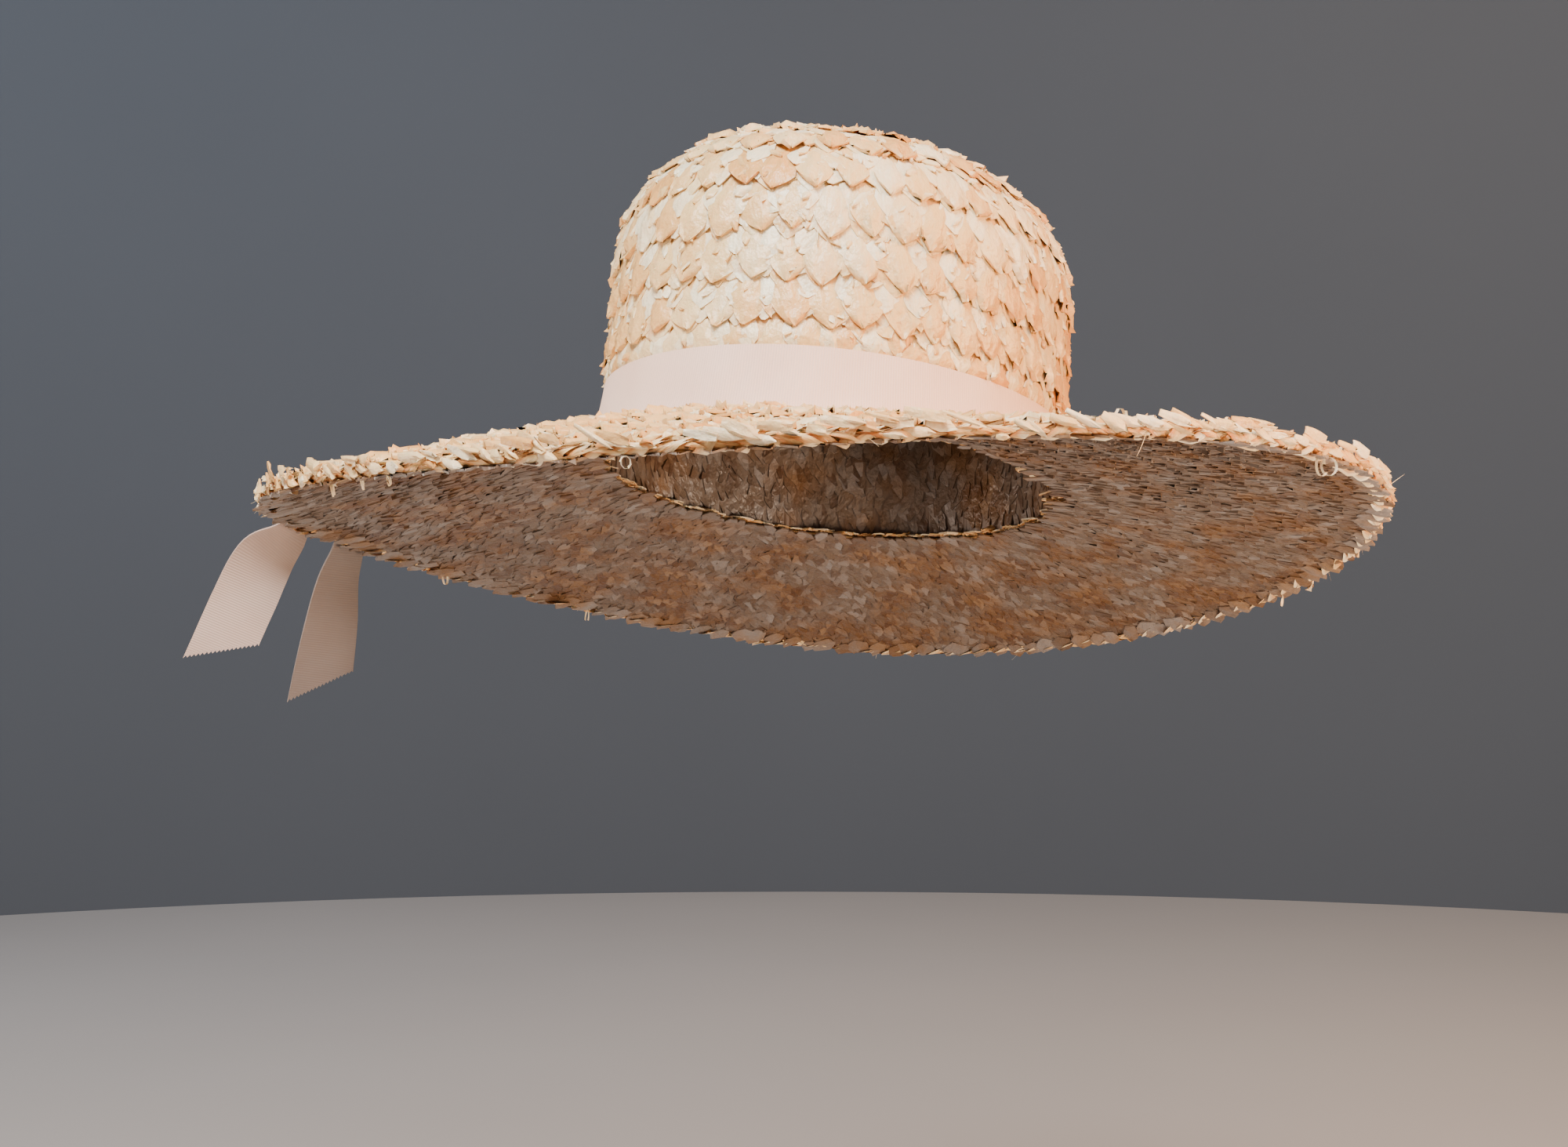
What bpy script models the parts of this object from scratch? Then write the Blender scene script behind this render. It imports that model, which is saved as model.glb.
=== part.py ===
"""Wide-brim straw hat as it is worn: tipped back on the head, with two ribbon ends over the brim.

Metres, +Z up, the front towards -Y and the wearer's left towards +X. The origin is the middle
of the crown's foot, where the head goes in. An azimuth is in degrees from the front, round by
the wearer's left. Everything but the ribbon ends is built upright round the hat's own axis and
then tipped with one empty. The ribbon ends hang along the true vertical.
"""

import math
from collections import namedtuple

import bmesh
import bpy
from mathutils import Euler, Matrix, Vector

# How the hat sits on the head, in degrees
TILT_BACK = 11.8
TILT_RIGHT = 2.0

# Crown: outside sizes of its oval, then its profile from the foot up
CROWN_LENGTH = 0.197
CROWN_WIDTH = 0.1715
SIDE_HEIGHT = 0.0764
SHOULDER_HEIGHT = 0.045
SHOULDER_DEPTH = 0.042
TOP_SLOPE = 15.0
FOOT_FLARE = 0.0045
FLARE_HEIGHT = 0.037

# Brim: a round rim whose middle lies a little to the wearer's right
RIM_RADIUS = 0.2143
RIM_SHIFT = -0.0026
RIM_DROP = 0.0238
BRIM_CURVE = 1.1

# Straw braid: wall, row pitch and how far a row's free edge stands over the next row
CROWN_WALL = 0.002
BRIM_WALL = 0.002
ROW_PITCH = 0.0178
ROW_STEP = 0.001
FIRST_ROW = 0.0324

# Ribbon
RIBBON_WIDTH = 0.026
RIBBON_WALL = 0.001
BAND_HEIGHT = 0.025
BAND_FOOT = 0.0006
KNOT_AZIMUTH = 264.0
KNOT_WIDTH = 0.019
KNOT_HEIGHT = 0.023
KNOT_DEPTH = 0.0075
TAIL_REST = 0.0025
TAIL_PAST_RIM = 0.003
TAIL_STRAIGHT = 0.006
CUT_SLANT = 0.0165

# Clearances between pieces
SEAM_GAP = 0.0003

# Mesh fineness
ROUND_SIDES = 64
TAIL_STEPS = 30

# The rim's height goes round in two waves: one lifts the wearer's left and the back, and one
# dips the front and the back below the sides
Wave = namedtuple("Wave", "turns peak_azimuth rise")
RIM_WAVES = (
    Wave(turns=1, peak_azimuth=139.0, rise=0.0125),
    Wave(turns=2, peak_azimuth=98.0, rise=0.0111),
)

# The knot's sections from its foot up, as shares of its height, width and depth
KnotSection = namedtuple("KnotSection", "height width depth")
KNOT_SECTIONS = (
    KnotSection(height=0.0, width=0.60, depth=0.45),
    KnotSection(height=0.12, width=0.82, depth=0.80),
    KnotSection(height=0.32, width=0.96, depth=0.98),
    KnotSection(height=0.5, width=1.0, depth=1.0),
    KnotSection(height=0.68, width=0.96, depth=0.98),
    KnotSection(height=0.88, width=0.82, depth=0.80),
    KnotSection(height=1.0, width=0.60, depth=0.45),
)
KNOT_SIDES = 16
KNOT_SQUARENESS = 3.0

# A ribbon end over the brim: reach is the share of the way from the knot to the rim, lift the
# share of its arch above where it would rest, width the share of the ribbon's, roll in degrees.
# Its arch, swing and drop are in ribbon widths
Over = namedtuple("Over", "reach lift width roll")
# The same end past the rim: out is the share of its swing, down the share of its drop
Fall = namedtuple("Fall", "out down roll")
# leaves says which face of the knot it comes out of: along the band or straight outward
Tail = namedtuple("Tail", "name leaves exit_azimuth arch swing drop over fall")
TAILS = (
    Tail(
        name="tail_a",
        leaves="side",
        exit_azimuth=288.5,
        arch=0.73,
        swing=1.33,
        drop=2.13,
        over=(
            Over(reach=0.0, lift=0.0, width=0.6, roll=88.0),
            Over(reach=0.15, lift=0.6, width=0.75, roll=56.0),
            Over(reach=0.36, lift=1.0, width=1.0, roll=16.0),
            Over(reach=0.66, lift=0.66, width=1.0, roll=6.0),
            Over(reach=0.90, lift=0.12, width=1.0, roll=4.0),
        ),
        fall=(
            Fall(out=0.0, down=0.0, roll=5.0),
            Fall(out=0.22, down=0.15, roll=28.0),
            Fall(out=0.48, down=0.31, roll=56.0),
            Fall(out=0.72, down=0.61, roll=73.0),
            Fall(out=1.0, down=1.0, roll=76.0),
        ),
    ),
    Tail(
        name="tail_b",
        leaves="face",
        exit_azimuth=277.3,
        arch=0.23,
        swing=0.58,
        drop=2.5,
        over=(
            Over(reach=0.0, lift=0.0, width=0.6, roll=0.0),
            Over(reach=0.14, lift=0.6, width=0.75, roll=0.0),
            Over(reach=0.36, lift=1.0, width=1.0, roll=4.0),
            Over(reach=0.68, lift=0.5, width=1.0, roll=6.0),
            Over(reach=0.90, lift=0.06, width=1.0, roll=4.0),
        ),
        fall=(
            Fall(out=0.0, down=0.0, roll=1.0),
            Fall(out=0.21, down=0.13, roll=9.0),
            Fall(out=0.46, down=0.30, roll=18.0),
            Fall(out=0.68, down=0.60, roll=35.0),
            Fall(out=1.0, down=1.0, roll=52.0),
        ),
    ),
)

# Surface finishes: colour, roughness
STRAW = ((0.77, 0.60, 0.45, 1.0), 0.45)
STRAW_SHADE = ((0.73, 0.56, 0.42, 1.0), 0.5)
GROSGRAIN = ((0.83, 0.66, 0.60, 1.0), 0.75)

TILT = Euler((-math.radians(TILT_BACK), -math.radians(TILT_RIGHT), 0.0)).to_matrix()
UP = Vector((0.0, 0.0, 1.0))


def clear_scene():
    for item in list(bpy.data.objects):
        bpy.data.objects.remove(item, do_unlink=True)


def azimuths():
    return [360.0 * step / ROUND_SIDES for step in range(ROUND_SIDES)]


def oval(azimuth, grow):
    """A point of the crown's oval, grown sideways on its plane."""
    angle = math.radians(azimuth)
    across = (CROWN_WIDTH / 2 + grow) * math.sin(angle)
    along = -(CROWN_LENGTH / 2 + grow) * math.cos(angle)
    return Vector((across, along, 0.0))


def flare(height):
    """How far the crown's side leans out at this height above its foot."""
    below = max(0.0, 1.0 - height / FLARE_HEIGHT)
    return FOOT_FLARE * below * below


def shoulder_end():
    """The shoulder arc's last angle, where its slope has come down to the top's."""
    return math.atan2(SHOULDER_HEIGHT, SHOULDER_DEPTH * math.tan(math.radians(TOP_SLOPE)))


def shoulder_run():
    """The shoulder arc's length along the profile."""
    mean_radius = (SHOULDER_HEIGHT + SHOULDER_DEPTH) / 2
    return mean_radius * shoulder_end()


def top_run():
    """The length along the profile from the shoulder's end to the middle of the top."""
    inset = SHOULDER_DEPTH * (1 - math.cos(shoulder_end()))
    return (CROWN_LENGTH + CROWN_WIDTH) / 4 - inset


def crown_point(run, azimuth, lift):
    """The crown's surface a run up its profile from the foot, raised along its normal."""
    if run <= SIDE_HEIGHT:
        point = oval(azimuth, flare(run) + lift)
        point.z = run
        return point
    share = (run - SIDE_HEIGHT) / shoulder_run()
    angle = shoulder_end() * min(1.0, share)
    grow = lift * math.cos(angle) - SHOULDER_DEPTH * (1 - math.cos(angle))
    height = SIDE_HEIGHT + (SHOULDER_HEIGHT + lift) * math.sin(angle)
    point = oval(azimuth, grow)
    if share > 1.0:
        left = 1.0 - (run - SIDE_HEIGHT - shoulder_run()) / top_run()
        left = max(0.0, left)
        point *= left
        height += math.tan(math.radians(TOP_SLOPE)) * top_run() * (1 - left * left) / 2
    point.z = height
    return point


def rim_height(azimuth):
    waves = sum(
        wave.rise * math.cos(math.radians(wave.turns * (azimuth - wave.peak_azimuth)))
        for wave in RIM_WAVES
    )
    return waves - RIM_DROP


def brim_point(share, azimuth, lift):
    """The brim's top surface: share 0 is at the crown's foot and share 1 at the rim."""
    angle = math.radians(azimuth)
    rim = Vector((RIM_SHIFT + RIM_RADIUS * math.sin(angle), -RIM_RADIUS * math.cos(angle), 0.0))
    point = oval(azimuth, FOOT_FLARE).lerp(rim, share)
    point.z = rim_height(azimuth) * share**BRIM_CURVE - SEAM_GAP + lift
    return point


def brim_rows():
    width = RIM_RADIUS - (CROWN_LENGTH + CROWN_WIDTH) / 4
    return max(2, round(width / ROW_PITCH))


def add_rings(mesh, rings):
    """Adds each ring of points to a bmesh and joins it to the one before with quads."""
    made = [[mesh.verts.new(point) for point in ring] for ring in rings]
    for lower, upper in zip(made, made[1:]):
        join_rings(mesh, lower, upper)
    return made


def join_rings(mesh, lower, upper):
    count = len(lower)
    for step in range(count):
        after = (step + 1) % count
        mesh.faces.new((lower[step], lower[after], upper[after], upper[step]))


def finish_object(name, mesh, finish, parent=None):
    """Turns a bmesh into a smooth-shaded object with its own material."""
    bmesh.ops.recalc_face_normals(mesh, faces=mesh.faces)
    data = bpy.data.meshes.new(name)
    mesh.to_mesh(data)
    mesh.free()
    data.shade_smooth()
    data.set_sharp_from_angle(angle=math.radians(50))
    data.materials.append(make_material(name, finish))
    thing = bpy.data.objects.new(name, data)
    bpy.context.scene.collection.objects.link(thing)
    thing.parent = parent
    return thing


def make_material(name, finish):
    colour, roughness = finish
    material = bpy.data.materials.new(name)
    material.use_nodes = True
    shader = material.node_tree.nodes["Principled BSDF"]
    shader.inputs["Base Color"].default_value = colour
    shader.inputs["Roughness"].default_value = roughness
    shader.inputs["Metallic"].default_value = 0.0
    return material


def crown_ring(run, lift):
    return [crown_point(run, azimuth, lift) for azimuth in azimuths()]


def row_runs():
    """Where each row's free edge lies on the crown, from the first above the band upwards."""
    length = SIDE_HEIGHT + shoulder_run() + top_run()
    count = int((length - ROW_PITCH / 3 - FIRST_ROW) / ROW_PITCH) + 1
    return [FIRST_ROW + ROW_PITCH * row for row in range(count)]


def build_crown(parent):
    """A hollow oval crown whose outside steps out at each row's free edge, like shingles."""
    runs = row_runs()
    apex = SIDE_HEIGHT + shoulder_run() + top_run()
    outside = [crown_ring(0.0, 0.0), crown_ring(FIRST_ROW / 2, 0.0)]
    inside = [crown_ring(0.0, -CROWN_WALL), crown_ring(FIRST_ROW / 2, -CROWN_WALL)]
    for run, above in zip(runs, runs[1:] + [apex]):
        outside.append(crown_ring(run, 0.0))
        outside.append(crown_ring(run, ROW_STEP))
        inside.append(crown_ring(run, -CROWN_WALL))
        if run > SIDE_HEIGHT - ROW_PITCH and above < apex:
            outside.append(crown_ring((run + above) / 2, ROW_STEP / 2))
            inside.append(crown_ring((run + above) / 2, -CROWN_WALL))
    mesh = bmesh.new()
    outer = add_rings(mesh, outside)
    inner = add_rings(mesh, inside)
    join_rings(mesh, outer[0], inner[0])
    close_with_fan(mesh, outer[-1], crown_point(apex, 0.0, ROW_STEP / 2))
    close_with_fan(mesh, inner[-1], crown_point(apex, 0.0, -CROWN_WALL))
    return finish_object("crown", mesh, STRAW, parent)


def close_with_fan(mesh, ring, middle):
    centre = mesh.verts.new(middle)
    for first, second in zip(ring, ring[1:] + ring[:1]):
        mesh.faces.new((first, second, centre))


def build_brim(parent):
    """An annular wall in overlapping rows, whose inner edge lies under the crown's foot."""
    rows = brim_rows()
    top = []
    for row in range(rows):
        top.append((row / rows, 0.0))
        top.append(((row + 1) / rows, ROW_STEP))
    under = [(share, lift - BRIM_WALL) for share, lift in reversed(top)]
    rings = [brim_ring(share, lift) for share, lift in top + under]
    seat = [
        [point + Vector((0.0, 0.0, lift)) for point in seat_ring()]
        for lift in (-BRIM_WALL, 0.0)
    ]
    mesh = bmesh.new()
    made = add_rings(mesh, rings + seat)
    join_rings(mesh, made[-1], made[0])
    return finish_object("brim", mesh, STRAW_SHADE, parent)


def brim_ring(share, lift):
    return [brim_point(share, azimuth, lift) for azimuth in azimuths()]


def seat_ring():
    """The brim's inner edge, flush with the inside of the crown's wall."""
    ring = [oval(azimuth, FOOT_FLARE - CROWN_WALL) for azimuth in azimuths()]
    for point in ring:
        point.z = -SEAM_GAP
    return ring


def band_point(height, azimuth, out):
    """A point out from the crown's side, which the band follows from its foot up."""
    point = oval(azimuth, flare(height) + SEAM_GAP + out)
    point.z = height
    return point


def build_band(parent):
    """A flat ribbon round the crown's foot, thickened outward and inward from its middle."""
    rings = []
    for share in (0.0, 0.33, 0.67, 1.0):
        height = BAND_FOOT + BAND_HEIGHT * share
        rings.append([band_point(height, azimuth, RIBBON_WALL / 2) for azimuth in azimuths()])
    mesh = bmesh.new()
    add_rings(mesh, rings)
    band = finish_object("band", mesh, GROSGRAIN, parent)
    thicken(band, RIBBON_WALL)
    return band


def thicken(thing, wall):
    solidify = thing.modifiers.new("wall", "SOLIDIFY")
    solidify.thickness = wall
    solidify.offset = 0.0


def knot_frame():
    """The knot's place on the band: columns outward, forward and up, then its middle."""
    low = band_point(BAND_FOOT, KNOT_AZIMUTH, RIBBON_WALL)
    high = band_point(BAND_FOOT + BAND_HEIGHT, KNOT_AZIMUTH, RIBBON_WALL)
    beside = band_point(BAND_FOOT, KNOT_AZIMUTH + 1.0, RIBBON_WALL)
    up = (high - low).normalized()
    outward = (beside - low).cross(up).normalized()
    along = up.cross(outward)
    middle = (low + high) / 2 + outward * (SEAM_GAP + KNOT_DEPTH / 2)
    frame = Matrix((outward, along, up)).transposed().to_4x4()
    frame.translation = middle
    return frame


def build_knot(parent):
    """A plain flat knot: a stack of rounded sections, fullest in the middle."""
    rings = []
    for section in KNOT_SECTIONS:
        ring = []
        for side in range(KNOT_SIDES):
            angle = 2 * math.pi * side / KNOT_SIDES
            x = KNOT_DEPTH / 2 * section.depth * rounded(math.cos(angle))
            y = KNOT_WIDTH / 2 * section.width * rounded(math.sin(angle))
            ring.append(Vector((x, y, KNOT_HEIGHT * (section.height - 0.5))))
        rings.append(ring)
    mesh = bmesh.new()
    made = add_rings(mesh, rings)
    mesh.faces.new(made[0])
    mesh.faces.new(made[-1])
    knot = finish_object("knot", mesh, GROSGRAIN, parent)
    knot.matrix_local = knot_frame()
    return knot


def rounded(value):
    """Squares a circle's sine or cosine up towards a rectangle with round corners."""
    return math.copysign(abs(value) ** (2 / KNOT_SQUARENESS), value)


def tail_start(tail):
    """Where a ribbon end leaves the knot, and a point straight out from there."""
    if tail.leaves == "side":
        offset = Vector((0.0, KNOT_WIDTH / 2 + SEAM_GAP, 0.0))
    else:
        offset = Vector((KNOT_DEPTH / 2 + SEAM_GAP, 0.0, -KNOT_HEIGHT / 8))
    straight = Vector((offset.x, offset.y, 0.0)).normalized() * TAIL_STRAIGHT
    frame = knot_frame()
    return frame @ offset, frame @ (offset + straight)


def brim_height_under(plan):
    """The brim's top under a point, in the hat's own upright direction."""
    azimuth = math.degrees(math.atan2(plan.x, -plan.y))
    inner = brim_point(0.0, azimuth, 0.0)
    outer = brim_point(1.0, azimuth, 0.0)
    share = (plan.xy.length - inner.xy.length) / (outer.xy.length - inner.xy.length)
    return brim_point(min(1.0, max(0.0, share)), azimuth, 0.0).z


def tail_stations(tail):
    """(point, width, roll) of each row of a ribbon end's tables, with the hat tipped."""
    start, straight = tail_start(tail)
    edge = brim_point(1.0, tail.exit_azimuth, ROW_STEP + TAIL_REST)
    travel = (edge - start) * Vector((1.0, 1.0, 0.0))
    edge += travel.normalized() * TAIL_PAST_RIM
    stations = []
    for row in tail.over:
        plan = start + travel * row.reach
        rest = brim_height_under(plan) + ROW_STEP + TAIL_REST
        arch = RIBBON_WIDTH * tail.arch * row.lift
        blend = min(1.0, row.reach / tail.over[2].reach)
        plan.z = (start.z * (1 - blend) + rest * blend) + arch
        stations.append((TILT @ plan, row.width, row.roll))
    stations.insert(1, (TILT @ straight, tail.over[0].width, tail.over[0].roll))
    outward = (TILT @ travel).normalized()
    outward.z = 0.0
    outward.normalize()
    for row in tail.fall:
        swing = outward * (RIBBON_WIDTH * tail.swing * row.out)
        drop = UP * (RIBBON_WIDTH * tail.drop * row.down)
        point = TILT @ edge + swing - drop
        stations.append((point, 1.0, row.roll))
    return stations, outward


def slope_at(values, places, index):
    """The rate of change at a station, from its neighbours on both sides."""
    low = max(0, index - 1)
    high = min(len(values) - 1, index + 1)
    return (values[high] - values[low]) / (places[high] - places[low])


def smooth_between(values, places, index, place):
    """A value on the smooth curve from station index to the next, for numbers or vectors."""
    length = places[index + 1] - places[index]
    share = (place - places[index]) / length
    settle = share * share * (3 - 2 * share)
    leave = share * (1 - share) ** 2 * length
    arrive = share * share * (share - 1) * length
    straight = values[index] * (1 - settle) + values[index + 1] * settle
    turn = slope_at(values, places, index) * leave + slope_at(values, places, index + 1) * arrive
    return straight + turn


def smooth_stations(stations):
    """TAIL_STEPS + 1 stations, evenly spaced on a smooth curve through the given ones."""
    places = [0.0]
    for before, after in zip(stations, stations[1:]):
        places.append(places[-1] + (after[0] - before[0]).length)
    smooth = []
    for step in range(TAIL_STEPS + 1):
        place = places[-1] * step / TAIL_STEPS
        index = max(k for k in range(len(places) - 1) if places[k] <= place)
        smooth.append([smooth_between(values, places, index, place) for values in zip(*stations)])
    return smooth


def build_tail(tail):
    """A ribbon end: a strip along its path, flat on the brim and turned as it falls."""
    stations, outward = tail_stations(tail)
    smooth = smooth_stations(stations)
    left = UP.cross(outward)
    mesh = bmesh.new()
    rows = []
    for index, (point, width, roll) in enumerate(smooth):
        ahead = smooth[min(index + 1, TAIL_STEPS)][0]
        behind = smooth[max(index - 1, 0)][0]
        travel = (ahead - behind).normalized()
        side = (left - travel * left.dot(travel)).normalized()
        side = Matrix.Rotation(math.radians(roll), 3, travel) @ side
        reach = side * (RIBBON_WIDTH * width / 2)
        slant = travel * (CUT_SLANT / 2) if index == TAIL_STEPS else Vector()
        rows.append([mesh.verts.new(point + reach + slant), mesh.verts.new(point - reach - slant)])
    for row, after in zip(rows, rows[1:]):
        mesh.faces.new((row[0], row[1], after[1], after[0]))
    piece = finish_object(tail.name, mesh, GROSGRAIN)
    thicken(piece, RIBBON_WALL)
    return piece


def main():
    clear_scene()
    axis = bpy.data.objects.new("hat_axis", None)
    bpy.context.scene.collection.objects.link(axis)
    axis.rotation_euler = TILT.to_euler()
    build_crown(axis)
    build_brim(axis)
    build_band(axis)
    build_knot(axis)
    for tail in TAILS:
        build_tail(tail)


main()
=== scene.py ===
"""Looks of a wide-brim straw hat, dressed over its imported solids.

The crown and the brim are plaited straw: rows of overlapping petals, with smaller facets between
them, laid leaf by leaf on the hat's surfaces. The ribbon is a ribbed band with a flat knot and
two ends that hang over the rim. Metres, +Z up, the hat's front towards -Y and the wearer's left
towards +X. An azimuth is in degrees from the front, round by the wearer's left.
"""

import math
from collections import namedtuple

import bpy
import numpy as np
from mathutils import Euler, Matrix, Vector


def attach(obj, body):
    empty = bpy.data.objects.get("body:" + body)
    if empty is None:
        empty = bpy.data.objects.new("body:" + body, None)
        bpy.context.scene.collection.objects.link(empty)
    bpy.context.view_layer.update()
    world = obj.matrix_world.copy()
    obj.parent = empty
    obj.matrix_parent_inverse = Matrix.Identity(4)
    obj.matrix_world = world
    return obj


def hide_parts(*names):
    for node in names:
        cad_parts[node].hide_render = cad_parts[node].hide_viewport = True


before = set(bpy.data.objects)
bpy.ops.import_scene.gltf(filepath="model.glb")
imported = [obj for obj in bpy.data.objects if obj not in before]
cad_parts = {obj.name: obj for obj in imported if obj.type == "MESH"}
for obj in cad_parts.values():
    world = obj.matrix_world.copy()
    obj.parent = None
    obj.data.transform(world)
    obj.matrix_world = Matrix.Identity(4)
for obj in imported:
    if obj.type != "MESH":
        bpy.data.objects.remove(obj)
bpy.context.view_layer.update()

# How the hat sits on the head, in degrees
TILT_BACK = 11.8
TILT_RIGHT = 2.0

# Crown: outside sizes of its oval, then its profile from the foot up
CROWN_LENGTH = 0.197
CROWN_WIDTH = 0.1715
SIDE_HEIGHT = 0.0764
SHOULDER_HEIGHT = 0.045
SHOULDER_DEPTH = 0.042
TOP_SLOPE = math.radians(15.0)
FOOT_FLARE = 0.0045
FLARE_HEIGHT = 0.037
CROWN_WALL = 0.002

# Brim: a round rim whose middle lies a little to the wearer's right
RIM_RADIUS = 0.2143
RIM_SHIFT = -0.0026
RIM_DROP = 0.0238
BRIM_CURVE = 1.1
BRIM_WALL = 0.002
BRIM_ROWS = 7
Wave = namedtuple("Wave", "turns peak_azimuth rise")
RIM_WAVES = (
    Wave(turns=1, peak_azimuth=139.0, rise=0.0125),
    Wave(turns=2, peak_azimuth=98.0, rise=0.0111),
)

# Straw braid
ROW_PITCH = 0.0178
FIRST_ROW = 0.0324
PETAL_PITCH = 0.0135

# Ribbon
RIBBON_WIDTH = 0.026
RIBBON_WALL = 0.001
BAND_HEIGHT = 0.025
BAND_FOOT = 0.0006
KNOT_AZIMUTH = 264.0
KNOT_WIDTH = 0.019
KNOT_HEIGHT = 0.023
KNOT_DEPTH = 0.0075
TAIL_REST = 0.0025
TAIL_PAST_RIM = 0.003
TAIL_STRAIGHT = 0.006
TAIL_STEPS = 96
CUT_SLANT = 0.0165
ROW_STEP = 0.001
SEAM_GAP = 0.0003

# A ribbon end leaves the knot by its side or face, runs to the rim through the rows of over and
# hangs past it through those of fall. arch, swing and drop are its way up, out and down in ribbon
# widths, and lift, out and down are shares of those. roll turns it about its path, in degrees.
# shade is how light its painted shade leaves it over the brim, and clear how much lighter painted
# light makes it past the rim
Over = namedtuple("Over", "reach lift width roll")
Fall = namedtuple("Fall", "out down roll")
Tail = namedtuple("Tail", "name leaves shade clear exit_azimuth arch swing drop over fall")
TAILS = (
    Tail(
        name="tail_a", leaves="side", shade=0.08, clear=0.6,
        exit_azimuth=288.5, arch=0.73, swing=1.33, drop=2.13,
        over=(
            Over(0.0, 0.0, 0.6, 88.0),
            Over(0.15, 0.6, 0.75, 56.0),
            Over(0.36, 1.0, 1.0, 16.0),
            Over(0.66, 0.66, 1.0, 6.0),
            Over(0.90, 0.12, 1.0, 4.0),
        ),
        fall=(
            Fall(0.0, 0.0, 5.0),
            Fall(0.22, 0.15, 28.0),
            Fall(0.48, 0.31, 56.0),
            Fall(0.72, 0.61, 73.0),
            Fall(1.0, 1.0, 76.0),
        ),
    ),
    Tail(
        name="tail_b", leaves="face", shade=0.0, clear=0.15,
        exit_azimuth=277.3, arch=0.23, swing=0.58, drop=2.5,
        over=(
            Over(0.0, 0.0, 0.6, 0.0),
            Over(0.14, 0.6, 0.75, 0.0),
            Over(0.36, 1.0, 1.0, 4.0),
            Over(0.68, 0.5, 1.0, 6.0),
            Over(0.90, 0.06, 1.0, 4.0),
        ),
        fall=(
            Fall(0.0, 0.0, 1.0),
            Fall(0.21, 0.13, 9.0),
            Fall(0.46, 0.30, 18.0),
            Fall(0.68, 0.60, 35.0),
            Fall(1.0, 1.0, 52.0),
        ),
    ),
)

# The ribbon's mesh: its thickness, the columns across an end, the depth of its pinked cut, and
# where the band is creased
RIBBON_THICK = 0.0006
TAIL_COLUMNS = 37
PINK_DEPTH = 0.0011
RIB_SCALE = 314.16  # makes one rib a millimetre
CREASE_AZIMUTH = 12.0
CREASE_SLANT = 6.0
CREASE_WIDTH = 0.9
CREASE_DEPTH = 0.0004
Ripple = namedtuple("Ripple", "rise turns phase")
RIPPLES = (
    Ripple(rise=0.00025, turns=7.0, phase=40.0),
    Ripple(rise=0.0002, turns=17.0, phase=0.0),
)

WHITE = (1.0, 1.0, 1.0)

# Worked out from the sizes above
TILT = Euler((-math.radians(TILT_BACK), -math.radians(TILT_RIGHT), 0.0)).to_matrix()
UP = Vector((0.0, 0.0, 1.0))
SHOULDER_END = math.atan2(SHOULDER_HEIGHT, SHOULDER_DEPTH * math.tan(TOP_SLOPE))
SHOULDER_RUN = (SHOULDER_HEIGHT + SHOULDER_DEPTH) / 2 * SHOULDER_END
TOP_RUN = (CROWN_LENGTH + CROWN_WIDTH) / 4 - SHOULDER_DEPTH * (1 - math.cos(SHOULDER_END))
CROWN_RUN = SIDE_HEIGHT + SHOULDER_RUN + TOP_RUN
LAST_ROW = (CROWN_RUN - FIRST_ROW) / ROW_PITCH
FOOT_ROW = -FIRST_ROW / ROW_PITCH

# Stage and camera. The camera is level, a metre from the hat, a little left of it and below the
# crown's foot
FLOOR_HEIGHT = -0.40
FLOOR_RADIUS = 3.0
FLOOR_COLOUR = (0.40, 0.40, 0.40)
WALL_RADIUS = 1.9
WALL_HEIGHT = 2.6
WALL_COLOUR = (0.062, 0.080, 0.104)
STAGE_SIDES = 128
SENSOR_WIDTH = 36.0
IMAGE_WIDTH = 2000
FOCAL_PIXELS = 3240
VIEW_AZIMUTH = math.radians(31.0)
CAMERA_DISTANCE = 1.0
CAMERA_LEFT = 0.0185
CAMERA_BELOW = 0.0367
AWAY = Vector((-math.sin(VIEW_AZIMUTH), math.cos(VIEW_AZIMUTH), 0.0))
RIGHT = Vector((math.cos(VIEW_AZIMUTH), math.sin(VIEW_AZIMUTH), 0.0))

# Square soft lights, placed in metres from the hat as the camera sees it: right, up and near. Each
# is aimed at the hat, or at a point right, away and up from its middle
HAT_MIDDLE = (0.0, 0.0, 0.03)
Light = namedtuple("Light", "name right up near size power colour aim")
LIGHTS = (
    Light("key", -0.35, 1.25, 0.85, 0.65, 54.0, (1.0, 0.975, 0.95), HAT_MIDDLE),
    Light("warm_side", 1.25, 0.5, 0.45, 0.6, 35.0, (1.0, 0.45, 0.14), HAT_MIDDLE),
    Light("front", 0.25, 0.75, 1.35, 0.9, 9.0, (1.0, 0.92, 0.84), HAT_MIDDLE),
    Light("warm_low", -1.25, -0.28, 0.05, 0.5, 11.0, (1.0, 0.80, 0.66), HAT_MIDDLE),
    Light("bounce", 0.6, -0.33, 0.3, 0.3, 6.5, (1.0, 0.78, 0.59), (0.2, 0.0, 0.0)),
    Light("cool_back", -0.5, 0.9, -0.7, 0.6, 7.0, (0.62, 0.80, 1.0), (-1.1, 1.6, 0.5)),
    Light("warm_back", 0.5, 0.9, -0.7, 0.6, 7.5, (1.0, 0.70, 0.50), (1.1, 1.6, 0.4)),
)
WORLD_COLOUR = (0.90, 0.95, 1.0)
WORLD_STRENGTH = 0.22

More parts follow.
